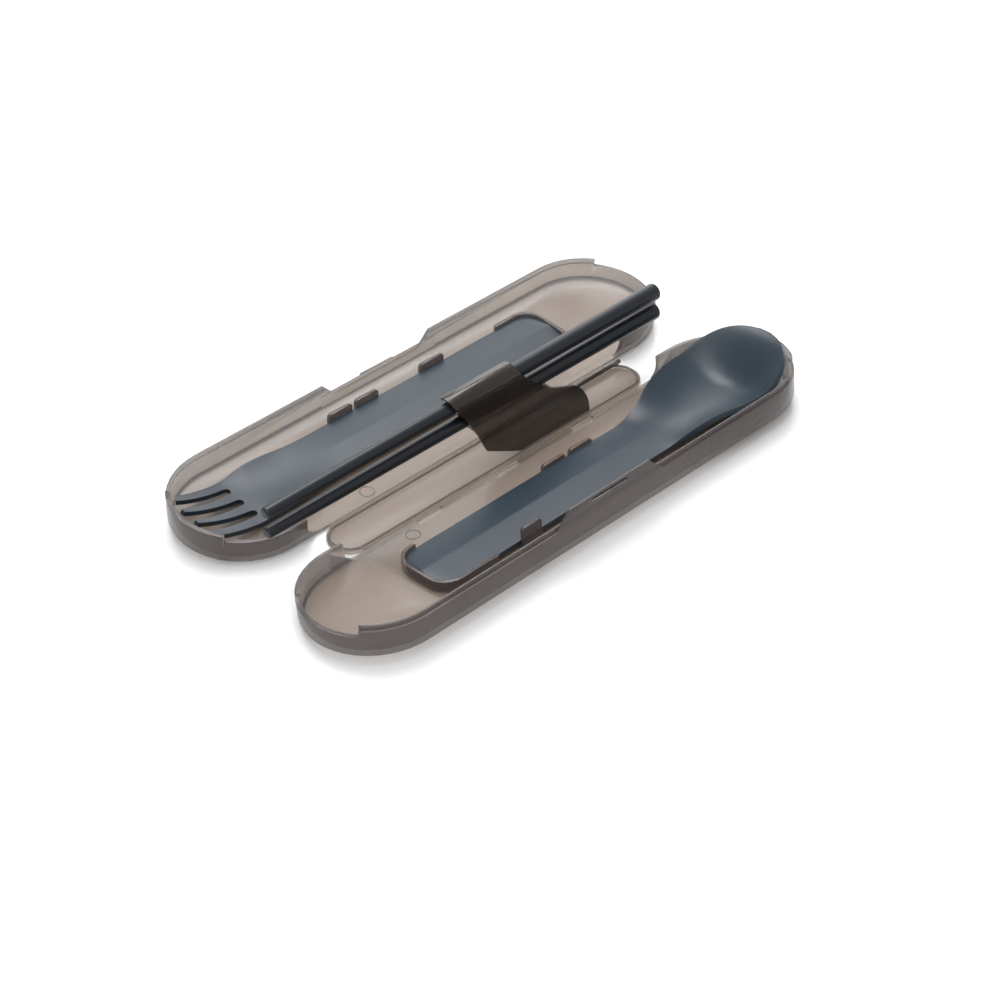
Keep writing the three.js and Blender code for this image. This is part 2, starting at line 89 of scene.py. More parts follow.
class Side(Enum):
    """Which side of the spine a tray lies on."""

    FRONT = -1
    REAR = 1

    @property
    def tray(self) -> str:
        """The tray's CAD body, which is also its node."""
        return f"{self.name.lower()}_tray"

    @property
    def film(self) -> str:
        """The node of the hinge film."""
        return f"{self.name.lower()}_hinge_film"


class Slot(Enum):
    """Material slots of the record."""

    CASE = "smoky_plastic"
    CLIP = "dark_plastic"
    UTENSIL = "slate_plastic"
    STICK = "navy_plastic"


def smooth(low: float, high: float, x: float) -> float:
    """Eases from 0 at low to 1 at high."""
    t = min(max((x - low) / (high - low), 0.0), 1.0)
    return t * t * (3 - 2 * t)


# ---------------------------------------------------------------- finishes


@dataclass(frozen=True)
class Wiring:
    """Short ways to add linked nodes to one node tree."""

    tree: bpy.types.NodeTree

    def feed(self, value: Socket | float | Color, target: Socket) -> None:
        """Links a socket to an input, or sets the input's own value.

        Args:
            value: the socket or the value.
            target: the input.
        """
        if isinstance(value, Socket):
            self.tree.links.new(value, target)
        else:
            target.default_value = value

    def node(self, kind: str, **values: Socket | float | Color) -> bpy.types.Node:
        """Adds a node and feeds its inputs.

        Args:
            kind: the node's type, without the leading "ShaderNode".
            values: what each input takes, with underscores for the spaces in its name.

        Returns:
            The node.
        """
        made = self.tree.nodes.new(f"ShaderNode{kind}")
        for name, value in values.items():
            self.feed(value, made.inputs[name.replace("_", " ")])
        return made

    def math(self, kind: str, a: Socket | float, b: Socket | float = 0.5) -> Socket:
        """Works out a value from one or two others.

        Args:
            kind: the operation.
            a: the first value.
            b: the second value, unused by operations on one.

        Returns:
            The result.
        """
        node = self.node("Math")
        node.operation = kind
        self.feed(a, node.inputs[0])
        self.feed(b, node.inputs[1])
        return node.outputs[0]

    def vector(self, kind: str, a: Socket, b: Socket | Color = (0, 0, 0), out: str = "Vector") -> Socket:
        """Works out a vector or a value from one or two vectors.

        Args:
            kind: the operation.
            a: the first vector.
            b: the second vector, unused by operations on one.
            out: "Vector", or "Value" for an operation that gives a value.

        Returns:
            The result.
        """
        node = self.node("VectorMath")
        node.operation = kind
        self.feed(a, node.inputs[0])
        self.feed(b, node.inputs[1])
        return node.outputs[out]

    def ramp(self, value: Socket, start: float, stop: float, low: float = 0.0, high: float = 1.0) -> Socket:
        """Maps a value from start and stop to low and high, and clamps it."""
        node = self.node("MapRange", Value=value, From_Min=start, From_Max=stop, To_Min=low, To_Max=high)
        return node.outputs["Result"]

    def height(self, vector: Socket) -> Socket:
        """Takes the upward part of a vector."""
        return self.node("SeparateXYZ", Vector=vector).outputs["Z"]

    def blend(self, factor: Socket, a: Socket | Color, b: Color) -> Socket:
        """Mixes two colours.

        Args:
            factor: 0 for the first colour, 1 for the second.
            a: the first colour.
            b: the second colour.

        Returns:
            The mixed colour.
        """
        node = self.node("Mix")
        node.data_type = "RGBA"
        colors = {socket.name: socket for socket in node.inputs if socket.type == "RGBA"}
        self.feed(factor, node.inputs["Factor"])
        self.feed(a if isinstance(a, Socket) else (*a, 1.0), colors["A"])
        self.feed((*b, 1.0), colors["B"])
        return next(socket for socket in node.outputs if socket.type == "RGBA")


def mould_group() -> bpy.types.NodeTree:
    """Builds the moulded surface: slow mottling, fine texture and hairline rubs.

    Returns:
        A group with Scale, Mottle, Roughness, Rub and Base in, and Color, Roughness and Height out.
    """
    group = bpy.data.node_groups.new("moulded_surface", "ShaderNodeTree")
    for name in ("Scale", "Mottle", "Roughness", "Rub"):
        group.interface.new_socket(name, in_out="INPUT", socket_type="NodeSocketFloat")
    group.interface.new_socket("Base", in_out="INPUT", socket_type="NodeSocketColor")
    group.interface.new_socket("Color", in_out="OUTPUT", socket_type="NodeSocketColor")
    group.interface.new_socket("Roughness", in_out="OUTPUT", socket_type="NodeSocketFloat")
    group.interface.new_socket("Height", in_out="OUTPUT", socket_type="NodeSocketFloat")
    wiring = Wiring(group)
    given = group.nodes.new("NodeGroupInput").outputs
    result = group.nodes.new("NodeGroupOutput").inputs
    place = wiring.node("TexCoord").outputs["Object"]

    slow = wiring.node("TexNoise", Vector=place, Scale=MOTTLE_SCALE, Detail=MOTTLE_DETAIL)
    fine = wiring.node("TexNoise", Vector=place, Scale=given["Scale"], Detail=GRAIN_DETAIL)
    along = wiring.node("Mapping", Vector=place, Scale=HAIRLINE_STRETCH)
    hairline = wiring.node("TexNoise", Vector=along.outputs["Vector"], Scale=1.0, Detail=HAIRLINE_DETAIL)

    swing = wiring.math("SUBTRACT", slow.outputs["Fac"], 0.5)
    level = wiring.math("ADD", wiring.math("MULTIPLY", swing, given["Mottle"]), 1.0)
    tint = wiring.node("VectorMath")
    tint.operation = "SCALE"
    wiring.feed(given["Base"], tint.inputs[0])
    wiring.feed(level, tint.inputs["Scale"])
    streak = wiring.math("MULTIPLY", hairline.outputs["Fac"], given["Rub"])
    cloud = wiring.math("MULTIPLY", swing, ROUGHNESS_SWING)
    rough = wiring.math("ADD", wiring.math("ADD", streak, cloud), given["Roughness"])
    wiring.feed(tint.outputs[0], result["Color"])
    wiring.feed(rough, result["Roughness"])
    wiring.feed(wiring.math("ADD", fine.outputs["Fac"], streak), result["Height"])
    return group


@dataclass(frozen=True)
class Moulded:
    """A moulded plastic finish: its colour, its surface texture and how much light it lets through.

    A finish that lets light through has its own tones for a tray's walls, a darker painted shade, and for
    their inner faces, a lighter painted backlight.
    """

    name: str
    color: Color
    roughness: float
    mottle: float = 0.12
    rub: float = 0.08
    grain: float = 700.0
    bump: float = 0.12
    coat: float = 0.0
    # painted shade for a tray's walls and rims, and painted backlight for their inner faces
    shaded_wall_color: Color | None = None
    backlit_inner_color: Color | None = None
    floor_alpha: float = 1.0
    wall_alpha: float = 1.0

    def build(self, effect: bpy.types.NodeTree) -> bpy.types.Material:
        """Makes the material.

        Args:
            effect: the shared moulded surface group.

        Returns:
            The finished material.
        """
        material = bpy.data.materials.new(self.name)
        material.use_nodes = True
        wiring = Wiring(material.node_tree)
        shader = material.node_tree.nodes["Principled BSDF"].inputs
        wiring.feed(self.coat, shader["Coat Weight"])
        wiring.feed(COAT_ROUGHNESS, shader["Coat Roughness"])
        wiring.feed(PLASTIC_IOR, shader["IOR"])
        surface = wiring.node("Group")
        surface.node_tree = effect
        for name, value in (("Scale", self.grain), ("Mottle", self.mottle), ("Roughness", self.roughness),
                            ("Rub", self.rub), ("Base", (*self.color, 1.0))):
            wiring.feed(value, surface.inputs[name])
        wiring.feed(surface.outputs["Color"], shader["Base Color"])
        wiring.feed(surface.outputs["Roughness"], shader["Roughness"])
        relief = wiring.node("Bump", Strength=self.bump, Distance=RELIEF_DEPTH,
                             Height=surface.outputs["Height"])
        wiring.feed(relief.outputs["Normal"], shader["Normal"])
        if self.floor_alpha < 1.0:
            self._paint_tones_and_let_light_through(wiring, shader["Alpha"], surface.inputs["Base"])
        return material

    def _paint_tones_and_let_light_through(self, wiring: Wiring, alpha: Socket, base: Socket) -> None:
        """Paints walls and rims a darker painted shade and makes them denser than floors, paints their
        inner faces a lighter painted backlight, and makes all of it denser edge on.

        Everything is worked out in the piece's own frame, so that it stays put as the trays turn.
        A face is an inner one when it looks towards the nearest point of its tray's long axis, and
        belongs to the wall when it lies far from that point.

        Args:
            wiring: the material's wiring.
            alpha: the shader's alpha input.
            base: the moulded surface's colour input.
        """
        place = wiring.node("TexCoord").outputs
        normal, point = place["Normal"], place["Object"]
        flat = wiring.math("ABSOLUTE", wiring.height(normal))
        low = wiring.math("MULTIPLY", wiring.ramp(flat, *FLOOR_LEVEL),
                          wiring.ramp(wiring.height(point), *FLOOR_ZONE, 1.0, 0.0))

        away = wiring.vector("SUBTRACT", wiring.vector("ABSOLUTE", point), (*TRAY_AXIS, 0))
        away = wiring.vector("MULTIPLY", wiring.vector("MAXIMUM", away, (0, -1, 0)), (1, 1, 0))
        facing = wiring.vector("DOT_PRODUCT", away, wiring.vector("MULTIPLY", point, normal), "Value")
        distance = wiring.vector("LENGTH", away, out="Value")
        # inner faces take a lighter tone: painted backlight, as if light shone through the walls from
        # behind
        inner = wiring.math("MULTIPLY", wiring.ramp(facing, -INNER_FACING, 0.0, 1.0, 0.0),
                            wiring.ramp(distance, *WALL_ZONE))
        inner = wiring.math("MULTIPLY", inner, wiring.ramp(flat, *INNER_LEVEL, 1.0, 0.0))
        # walls and rims take a darker tone: painted shade; floors keep the base colour
        wall_shade = self.shaded_wall_color or self.color
        painted_tone = wiring.blend(inner, wall_shade, self.backlit_inner_color or wall_shade)
        wiring.feed(wiring.blend(low, painted_tone, self.color), base)

        edge = wiring.node("LayerWeight", Blend=EDGE_BLEND).outputs["Facing"]
        density = wiring.ramp(low, 0.0, 1.0, self.wall_alpha, self.floor_alpha)
        wiring.feed(wiring.math("MAXIMUM", density, edge), alpha)


# the case's dark wall tone is painted shade and its light inner tone is painted backlight
CASE = Moulded("smoky_case", (0.27, 0.2, 0.15), 0.26, mottle=0.06, rub=0.015, bump=0.02, coat=0.15,
               shaded_wall_color=(0.072, 0.058, 0.056), backlit_inner_color=(0.78, 0.67, 0.58),
               floor_alpha=0.46, wall_alpha=0.7)
CLIP = Moulded("dark_clip", (0.022, 0.014, 0.009), 0.24, rub=0.02, bump=0.05, coat=0.4,
               floor_alpha=0.76, wall_alpha=0.76)
SLATE = Moulded("slate_utensil", (0.011, 0.024, 0.038), 0.34, mottle=0.08, rub=0.05, bump=0.12)
NAVY = Moulded("navy_stick", (0.004, 0.007, 0.012), 0.34, mottle=0.1, rub=0.05, bump=0.1)


# ---------------------------------------------------------------- mesh helpers


def new_piece(name: str, mesh: bpy.types.Mesh, finish: bpy.types.Material) -> bpy.types.Object:
    """Links a mesh as a piece with its finish.

    Args:
        name: the piece's name.
        mesh: its mesh.
        finish: its only material.

    Returns:
        The piece.
    """
    piece = bpy.data.objects.new(name, mesh)
    bpy.context.scene.collection.objects.link(piece)
    mesh.materials.clear()
    mesh.materials.append(finish)
    return piece


def settle(piece: bpy.types.Object, crease_deg: float = 32.0) -> None:
    """Applies a piece's modifiers and shades it smooth but for its sharp edges.

    Args:
        piece: the piece.
        crease_deg: the angle beyond which an edge stays sharp.
    """
    bpy.context.view_layer.update()
    graph = bpy.context.evaluated_depsgraph_get()
    mesh = bpy.data.meshes.new_from_object(piece.evaluated_get(graph))
    piece.modifiers.clear()
    piece.data = mesh
    mesh.polygons.foreach_set("use_smooth", [True] * len(mesh.polygons))
    mesh.set_sharp_from_angle(angle=math.radians(crease_deg))


def rounded(piece: bpy.types.Object, width: float, segments: int = 3, angle_deg: float = 40.0) -> None:
    """Rounds a piece's sharp edges.

    Args:
        piece: the piece.
        width: the width of the rounding, in metres.
        segments: its steps.
        angle_deg: the angle beyond which an edge is rounded.
    """
    bevel = piece.modifiers.new("round", "BEVEL")
    bevel.width = width
    bevel.segments = segments
    bevel.limit_method = "ANGLE"
    bevel.angle_limit = math.radians(angle_deg)
    bevel.use_clamp_overlap = True


@contextmanager
def edited(mesh: bpy.types.Mesh) -> Iterator[bmesh.types.BMesh]:
    """Opens a mesh for editing and writes it back.

    Args:
        mesh: the mesh.

    Yields:
        Its editable form.
    """
    grid = bmesh.new()
    grid.from_mesh(mesh)
    yield grid
    grid.to_mesh(mesh)
    grid.free()


def solid_mesh(node: str) -> bpy.types.Mesh:
    """Copies a node's solid, with its flat faces made whole.

    Args:
        node: the CAD node.

    Returns:
        The copied mesh.
    """
    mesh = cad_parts[node].data.copy()
    with edited(mesh) as grid:
        bmesh.ops.remove_doubles(grid, verts=grid.verts, dist=2e-6)
        bmesh.ops.dissolve_limit(grid, angle_limit=math.radians(0.5), verts=grid.verts, edges=grid.edges)
    return mesh


def loft_mesh(name: str, rows: list[list[Vector]], weld: float = 0.0) -> bpy.types.Mesh:
    """Makes a sheet from rows of equally many points.

    Args:
        name: the mesh's name.
        rows: the rows, in metres.
        weld: the distance within which points are joined, or 0 to leave the sheet open.

    Returns:
        The mesh.
    """
    mesh = bpy.data.meshes.new(name)
    across = len(rows[0])
    faces = [
        (r * across + c, (r + 1) * across + c, (r + 1) * across + c + 1, r * across + c + 1)
        for r in range(len(rows) - 1)
        for c in range(across - 1)
    ]
    mesh.from_pydata([p for row in rows for p in row], [], faces)
    mesh.update()
    if weld:
        with edited(mesh) as grid:
            bmesh.ops.remove_doubles(grid, verts=grid.verts, dist=weld)
            bmesh.ops.recalc_face_normals(grid, faces=grid.faces)
    return mesh


# ---------------------------------------------------------------- trays


@dataclass(frozen=True)
class Tray:
    """One tray of the case, in the frame of its own hinge line."""

    side: Side
    mark_x: float
    mark_out: float
    hinge_out: float = 8.2 * MM
    hinge_up: float = 1.4 * MM
    lift_deg: float = 4.1
    floor: float = 1.4 * MM
    mark_radius: float = 2.4 * MM
    mark_profile: tuple[tuple[float, float], ...] = (
        (-0.16, -0.05), (-0.09, 0.07), (0.0, 0.1), (0.09, 0.07), (0.16, -0.05))

    def place(self, x: float, out: float, up: float) -> Vector:
        """Turns a point of the tray into the row frame.

        Args:
            x: place along the case.
            out: distance out from the hinge line.
            up: height above the outer floor face.

        Returns:
            The point, in metres like the arguments.
        """
        a = math.radians(self.lift_deg)
        rise = up - self.hinge_up
        y = self.hinge_out + out * math.cos(a) - rise * math.sin(a)
        return Vector((x, self.side.value * y, self.hinge_up + out * math.sin(a) + rise * math.cos(a)))

    def build_shell(self, finish: bpy.types.Material) -> bpy.types.Object:
        """Builds the tray with moulded, slightly rounded edges.

        Args:
            finish: the case's finish.

        Returns:
            The piece.
        """
        body = self.side.tray
        piece = new_piece(f"{body}_shell", solid_mesh(body), finish)
        rounded(piece, 0.2 * MM, 2)
        settle(piece)
        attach(piece, body)
        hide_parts(body)
        return piece

    def build_mark(self, finish: bpy.types.Material) -> bpy.types.Object:
        """Builds the faint ring that a mould's ejector pin leaves on a floor.

        Args:
            finish: the case's finish.

        Returns:
            The piece.
        """
        rows = []
        for i in range(ROUND_STEPS + 1):
            turn = 2 * math.pi * i / ROUND_STEPS
            rows.append([
                self.place(
                    self.mark_x + (self.mark_radius + r * MM) * math.cos(turn),
                    self.mark_out + (self.mark_radius + r * MM) * math.sin(turn),
                    self.floor + z * MM,
                )
                for r, z in self.mark_profile
            ])
        name = f"{self.side.name.lower()}_pin_mark"
        piece = new_piece(name, loft_mesh(name, rows, 1e-6), finish)
        settle(piece, 60)
        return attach(piece, self.side.tray)


# ---------------------------------------------------------------- spoon and fork


@dataclass(frozen=True)
class Utensil:
    """Sizes that the spoon and the fork share, in millimetres, and how their sheet is built."""

    tray: Tray
    finish: bpy.types.Material
    axis: float = 25.3
    half_handle: float = 10.8
    corner: float = 6.0
    thickness: float = 1.6
    edge_top: float = 4.2
    ridge: float = 0.8
    edge_round: float = 0.35
    across: int = 40
    corner_steps: int = 14

    def corner_width(self, inward: float) -> float:
        """Half width at a distance inwards from the round-cornered end."""
        d = min(max(inward, 0.0), self.corner)
        return self.half_handle - self.corner + math.sqrt(self.corner**2 - (self.corner - d) ** 2)

    def sheet(self, name: str, stations: list[float], half: Callable[[float], float],
              top: Callable[[float, float], float]) -> bpy.types.Object:
        """Builds the upper face over the stations and gives it thickness.

        Args:
            name: the piece's name.
            stations: places along X, in millimetres.
            half: half width at a station.
            top: height of the upper face at a station and a share of the half width.

        Returns:
            The piece, with its thickness still a modifier.
        """
        shares = [-1 + 2 * i / self.across for i in range(self.across + 1)]
        rows = [
            [self.tray.place(x * MM, (self.axis + u * half(x)) * MM, top(x, u) * MM) for u in shares]
            for x in stations
        ]
        if self.tray.side is Side.FRONT:
            rows = [row[::-1] for row in rows]
        piece = new_piece(name, loft_mesh(name, rows), self.finish)
        solid = piece.modifiers.new("thickness", "SOLIDIFY")
        solid.thickness = self.thickness * MM
        solid.offset = -1
        return piece

    def complete(self, piece: bpy.types.Object, node: str) -> bpy.types.Object:
        """Rounds a utensil's edges and hands it to its body.

        Args:
            piece: the piece, with its modifiers.
            node: the body, which is also the node that the piece stands for.

        Returns:
            The same piece.
        """
        rounded(piece, self.edge_round * MM, 3, 50)
        settle(piece, 40)
        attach(piece, node)
        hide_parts(node)
        return piece


@dataclass(frozen=True)
class Spoon(Utensil):
    """The spoon in the front tray."""

    end: float = -59.0
    neck: float = 36.0
    widest: float = 75.0
    tip: float = 96.6
    half_bowl: float = 18.6
    bowl_sink: float = 0.7
    bowl_rim: float = 5.6
    tip_rim: float = 6.4
    tip_floor: float = 12.8
    neck_crown: float = 0.5
    handle_steps: int = 31
    handle_step: float = 2.5
    neck_steps: int = 40
    tip_steps: int = 20

    def half(self, x: float) -> float:
        """Half width of the handle, the neck or the bowl.

        Args:
            x: place along the spoon.

        Returns:
            The half width.
        """
        if x <= self.neck:
            return self.corner_width(x - self.end)
        if x <= self.widest:
            flare = smooth(self.neck, self.widest - 3, x)
            return self.half_handle + (self.half_bowl - self.half_handle) * flare
        t = (x - self.widest) / (self.tip - self.widest)
        return self.half_bowl * math.sqrt(max(1 - t**2.05, 0.02))

    def top(self, x: float, u: float) -> float:
        """Height of the upper face.

        Args:
            x: place along the spoon.
            u: share of the half width, from -1 to 1.

        Returns:
            The height above the tray's outer floor face.
        """
        neck, widest = self.neck, self.widest
        edge = (self.edge_top + self.bowl_rim * smooth(neck - 1, widest - 15, x)
                + self.tip_rim * smooth(widest - 3, self.tip, x))
        crown = smooth(neck - 14, neck, x) * (1 - smooth(neck + 4, widest - 12, x))
        middle = (self.edge_top + self.ridge * (1 - smooth(neck - 20, neck + 6, x))
                  + self.neck_crown * crown
                  - self.bowl_sink * smooth(neck, widest - 12, x)
                  + self.tip_floor * smooth(widest + 1, self.tip + 1, x))
        bend = 1 + smooth(neck - 14, neck + 8, x)
        return middle + (edge - middle) * abs(u) ** bend

    def build(self) -> bpy.types.Object:
        """Builds the spoon.

        Returns:
            The piece.
        """
        stations = [self.end + self.corner * (1 - math.cos(math.pi / 2 * i / self.corner_steps))
                    for i in range(self.corner_steps + 1)]
        stations += [self.end + self.corner + self.handle_step * i for i in range(1, self.handle_steps + 1)]
        start = stations[-1]
        stations += [start + (self.widest - start) * i / self.neck_steps
                     for i in range(1, self.neck_steps + 1)]
        stations += [self.widest + (self.tip - self.widest) * math.sin(math.pi / 2 * i / self.tip_steps)
                     for i in range(1, self.tip_steps + 1)]
        return self.complete(self.sheet("spoon_blade", stations, self.half, self.top), "spoon")


@dataclass(frozen=True)
class Fork(Utensil):
    """The fork in the rear tray."""

    end: float = 59.5
    tip: float = -95.5
    tine_length: float = 20.5
    half_head: float = 12.0
    tine_gap: float = 3.0
    tines: int = 4
    flare: float = 1.2
    rise: float = 5.8
    sink: float = 0.6
    head_rim: float = 1.4
    head_dip: float = 0.6
    handle_to: float = -40.0
    clear: float = -110.0
    tray_end: float = -76.0
    tray_middle: float = 24.0
    end_radius: float = 21.0
    head_steps: int = 79
    head_step: float = 0.7
    handle_steps: int = 32

    @property
    def root(self) -> float:
        """Where the tines begin."""
        return self.tip + self.tine_length

    def half(self, x: float) -> float:
        """Half width of the handle or the head.

        Args:
            x: place along the fork.

        Returns:
            The half width.
        """
        if x > self.handle_to:
            return self.corner_width(self.end - x)
        return self.half_handle + (self.half_head - self.half_handle) * smooth(45, 66, -x)

    def top(self, x: float, u: float) -> float:
        """Height of the upper face.

        Args:
            x: place along the fork.
            u: share of the half width, from -1 to 1.

        Returns:
            The height above the tray's outer floor face.
        """
        rise = (self.rise * max((self.root - x) / self.tine_length, 0.0) ** 1.8
                - self.sink * smooth(56, -self.root, -x))
        edge = (self.edge_top + rise
                + self.head_rim * smooth(40, 66, -x) * (1 - smooth(66, -self.root, -x)))
        middle = (self.edge_top + rise + self.ridge * (1 - smooth(30, 48, -x))
                  - self.head_dip * smooth(44, 60, -x) * (1 - smooth(62, -self.root, -x)))
        return middle + (edge - middle) * abs(u) ** (1 + smooth(30, 50, -x))

    def cutter(self, name: str, outlines: list[list[tuple[float, float]]]) -> bpy.types.Object:
        """Builds a cutter that reaches through the whole sheet.

        Args:
            name: the cutter's name.
            outlines: outlines along and out from the hinge line, in millimetres.

        Returns:
            The cutter.
        """
        mesh = bpy.data.meshes.new(name)
        with edited(mesh) as grid:
            for outline in outlines:
                low, high = (
                    [grid.verts.new(self.tray.place(x * MM, out * MM, up * MM)) for x, out in outline]
                    for up in (CUT_FROM, CUT_TO)
                )
                grid.faces.new(low[::-1])
                grid.faces.new(high)
                for i in range(len(low)):
                    j = (i + 1) % len(low)
                    grid.faces.new((low[i], low[j], high[j], high[i]))
            bmesh.ops.recalc_face_normals(grid, faces=grid.faces)
        tool = bpy.data.objects.new(name, mesh)
        bpy.context.scene.collection.objects.link(tool)
        return tool

    def gaps(self) -> list[list[tuple[float, float]]]:
        """Draws the gaps between the tines, each with a round root.

        Returns:
            One outline for each gap.
        """
        pitch = (2 * self.half_head + self.tine_gap) / self.tines
        radius = self.tine_gap / 2
        far, wide = self.tip - CUT_PAST, radius + self.flare
        outlines = []
        for i in range(1, self.tines):
            out = self.axis + (i - self.tines / 2) * pitch
            arc = [(self.root - radius + radius * math.sin(a), out - radius * math.cos(a))
                   for a in (math.pi * k / 12 for k in range(13))]
            outlines.append([*arc, (far, out + wide), (far, out - wide)])
        return outlines

    def beyond(self) -> list[tuple[float, float]]:
        """Draws what lies beyond the arc of the tine ends, which follows the tray's end.

        Returns:
            The outline.
        """
        radius = self.end_radius
        arc = [(self.tray_end - radius * math.cos(a), self.tray_middle + radius * math.sin(a))
               for a in (math.radians(-80 + 4 * k) for k in range(41))]
        return [*arc, (self.clear, arc[-1][1]), (self.clear, arc[0][1])]

    def build(self) -> bpy.types.Object:
        """Builds the fork.

        Returns:
            The piece.
        """
        stations = [self.tip + self.head_step * i for i in range(self.head_steps + 1)]
        start, inner = stations[-1], self.end - self.corner
        stations += [start + (inner - start) * i / self.handle_steps
                     for i in range(1, self.handle_steps + 1)]
        stations += [inner + self.corner * math.sin(math.pi / 2 * i / self.corner_steps)
                     for i in range(1, self.corner_steps + 1)]
        piece = self.sheet("fork_blade", stations, self.half, self.top)
        tools = [self.cutter("tine_cutter", self.gaps()), self.cutter("tine_end_cutter", [self.beyond()])]
        for tool in tools:
            cut = piece.modifiers.new("cut", "BOOLEAN")
            cut.operation = "DIFFERENCE"
            cut.solver = "EXACT"
            cut.object = tool
        self.complete(piece, "fork")
        for tool in tools:
            bpy.data.objects.remove(tool)
        return piece


# ---------------------------------------------------------------- chopsticks


@dataclass(frozen=True)
class Chopstick:
    """One tapered stick, with the radius of each end."""

    node: str
    thick: float = 3.0 * MM
    thin: float = 2.0 * MM
    nose: float = 1.0 * MM
    nose_steps: int = 6
    taper_steps: int = 24

    def profile(self, length: float) -> list[tuple[float, float]]:
        """Outline from the thin end to the thick end.

        Args:
            length: the stick's length.

        Returns:
            Places along the stick with its radius at each.
        """
        nose = self.nose
        turns = [math.pi / 2 * i / self.nose_steps for i in range(self.nose_steps + 1)]
        shares = [i / self.taper_steps for i in range(1, self.taper_steps)]
        return [
            (0.0, 0.0),
            *((nose * (1 - math.cos(a)), self.thin - nose * (1 - math.sin(a))) for a in turns),
            *((nose + (length - 2 * nose) * t, self.thin + (self.thick - self.thin) * t) for t in shares),
            *((length - nose * (1 - math.sin(a)), self.thick - nose * (1 - math.cos(a))) for a in turns),
            (length, 0.0),
        ]

    def build(self, finish: bpy.types.Material) -> bpy.types.Object:
        """Turns the stick about its own axis.

        Args:
            finish: the sticks' finish.

        Returns:
            The piece.
        """
        low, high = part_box(self.node)
        centre = (low + high) / 2
        profile = self.profile(high.x - low.x)
        rows = []
        for i in range(ROUND_STEPS + 1):
            turn = 2 * math.pi * i / ROUND_STEPS
            rows.append([Vector((low.x + x, centre.y + r * math.cos(turn), centre.z + r * math.sin(turn)))
                         for x, r in profile])
        name = f"{self.node}_shaft"
        piece = new_piece(name, loft_mesh(name, rows, 1e-7), finish)
        settle(piece, 50)
        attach(piece, self.node)
        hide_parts(self.node)
        return piece


# ---------------------------------------------------------------- spine


@dataclass(frozen=True)
class Spine:
    """The spine, its raised border, the hinge films, the clip and its rod."""

    corner: float = 7.0 * MM
    border_inset: float = 0.9 * MM
    border_profile: tuple[tuple[float, float], ...] = (
        (-0.45, -0.1), (-0.3, 0.25), (0.0, 0.35), (0.3, 0.25), (0.45, -0.1))
    corner_steps: int = 8
    film_reach: float = 0.55 * MM
    film_thickness: float = 0.3 * MM
    film_steps: int = 8
    film_length_steps: int = 30
    carried: tuple[tuple[str, Slot, float], ...] = (
        ("spine", Slot.CASE, 0.15 * MM),
        ("chopstick_clip", Slot.CLIP, 0.3 * MM),
        ("clip_rod", Slot.CLIP, 0.25 * MM),
    )

    def build_carried(self, node: str, round_width: float,
                      finish: bpy.types.Material) -> bpy.types.Object:
        """Builds a piece that rides on the spine from its solid, with rounded edges.

        Args:
            node: the CAD node.
            round_width: the width of the rounding.
            finish: the piece's finish.

        Returns:
            The piece.
        """
        piece = new_piece(f"{node}_body", solid_mesh(node), finish)
        rounded(piece, round_width, 3)
        settle(piece, 35)
        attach(piece, "spine")
        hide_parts(node)
        return piece

    def build_border(self, finish: bpy.types.Material) -> bpy.types.Object:
        """Builds the low raised border round the spine's upper face.

        Args:
            finish: the case's finish.

        Returns:
            The piece.
        """
        _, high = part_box("spine")
        radius = self.corner - self.border_inset
        half_x, half_y = high.x - self.border_inset - radius, high.y - self.border_inset - radius
        path = []
        for sx, sy, start in ((1, 1, 0), (-1, 1, 90), (-1, -1, 180), (1, -1, 270)):
            for k in range(self.corner_steps + 1):
                a = math.radians(start + 90 * k / self.corner_steps)
                path.append((sx * half_x + radius * math.cos(a), sy * half_y + radius * math.sin(a), a))
        rows = [[Vector((x + o * MM * math.cos(a), y + o * MM * math.sin(a), high.z + z * MM))
                 for o, z in self.border_profile] for x, y, a in [*path, path[0]]]
        piece = new_piece("spine_border", loft_mesh("spine_border", rows, 1e-7), finish)
        settle(piece, 50)
        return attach(piece, "spine")

    def build_film(self, side: Side, finish: bpy.types.Material) -> bpy.types.Object:
        """Builds the thin hinge film, at which the real case folds between the spine and its tray, here as
        a flat strip.

        Args:
            side: the hinge's side.
            finish: the case's finish.

        Returns:
            The piece.
        """
        low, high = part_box(side.film)
        y0 = (low.y + high.y) / 2
        reach = side.value * self.film_reach
        rows = []
        for i in range(self.film_length_steps + 1):
            x = low.x + (high.x - low.x) * i / self.film_length_steps
            rows.append([Vector((x, y0 + reach * (-1 + 2 * k / self.film_steps), high.z))
                         for k in range(self.film_steps + 1)])
        name = f"{side.film}_strip"
        piece = new_piece(name, loft_mesh(name, rows), finish)
        solid = piece.modifiers.new("thickness", "SOLIDIFY")
        solid.thickness = self.film_thickness
        solid.offset = -side.value
        settle(piece, 40)
        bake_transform(piece)
        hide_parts(side.film)
        return piece


# ---------------------------------------------------------------- studio


@dataclass(frozen=True)
class Lamp:
    """One soft square light that faces the object, in metres and watts."""

    name: str
    place: tuple[float, float, float]
    size: float
    power: float

    def build(self) -> None:
        """Hangs the light."""
        data = bpy.data.lights.new(self.name, "AREA")
        data.size = self.size
        data.energy = self.power
        light = bpy.data.objects.new(self.name, data)
        light.location = self.place
        light.rotation_euler = (-Vector(self.place)).to_track_quat("-Z", "Y").to_euler()
        bpy.context.scene.collection.objects.link(light)


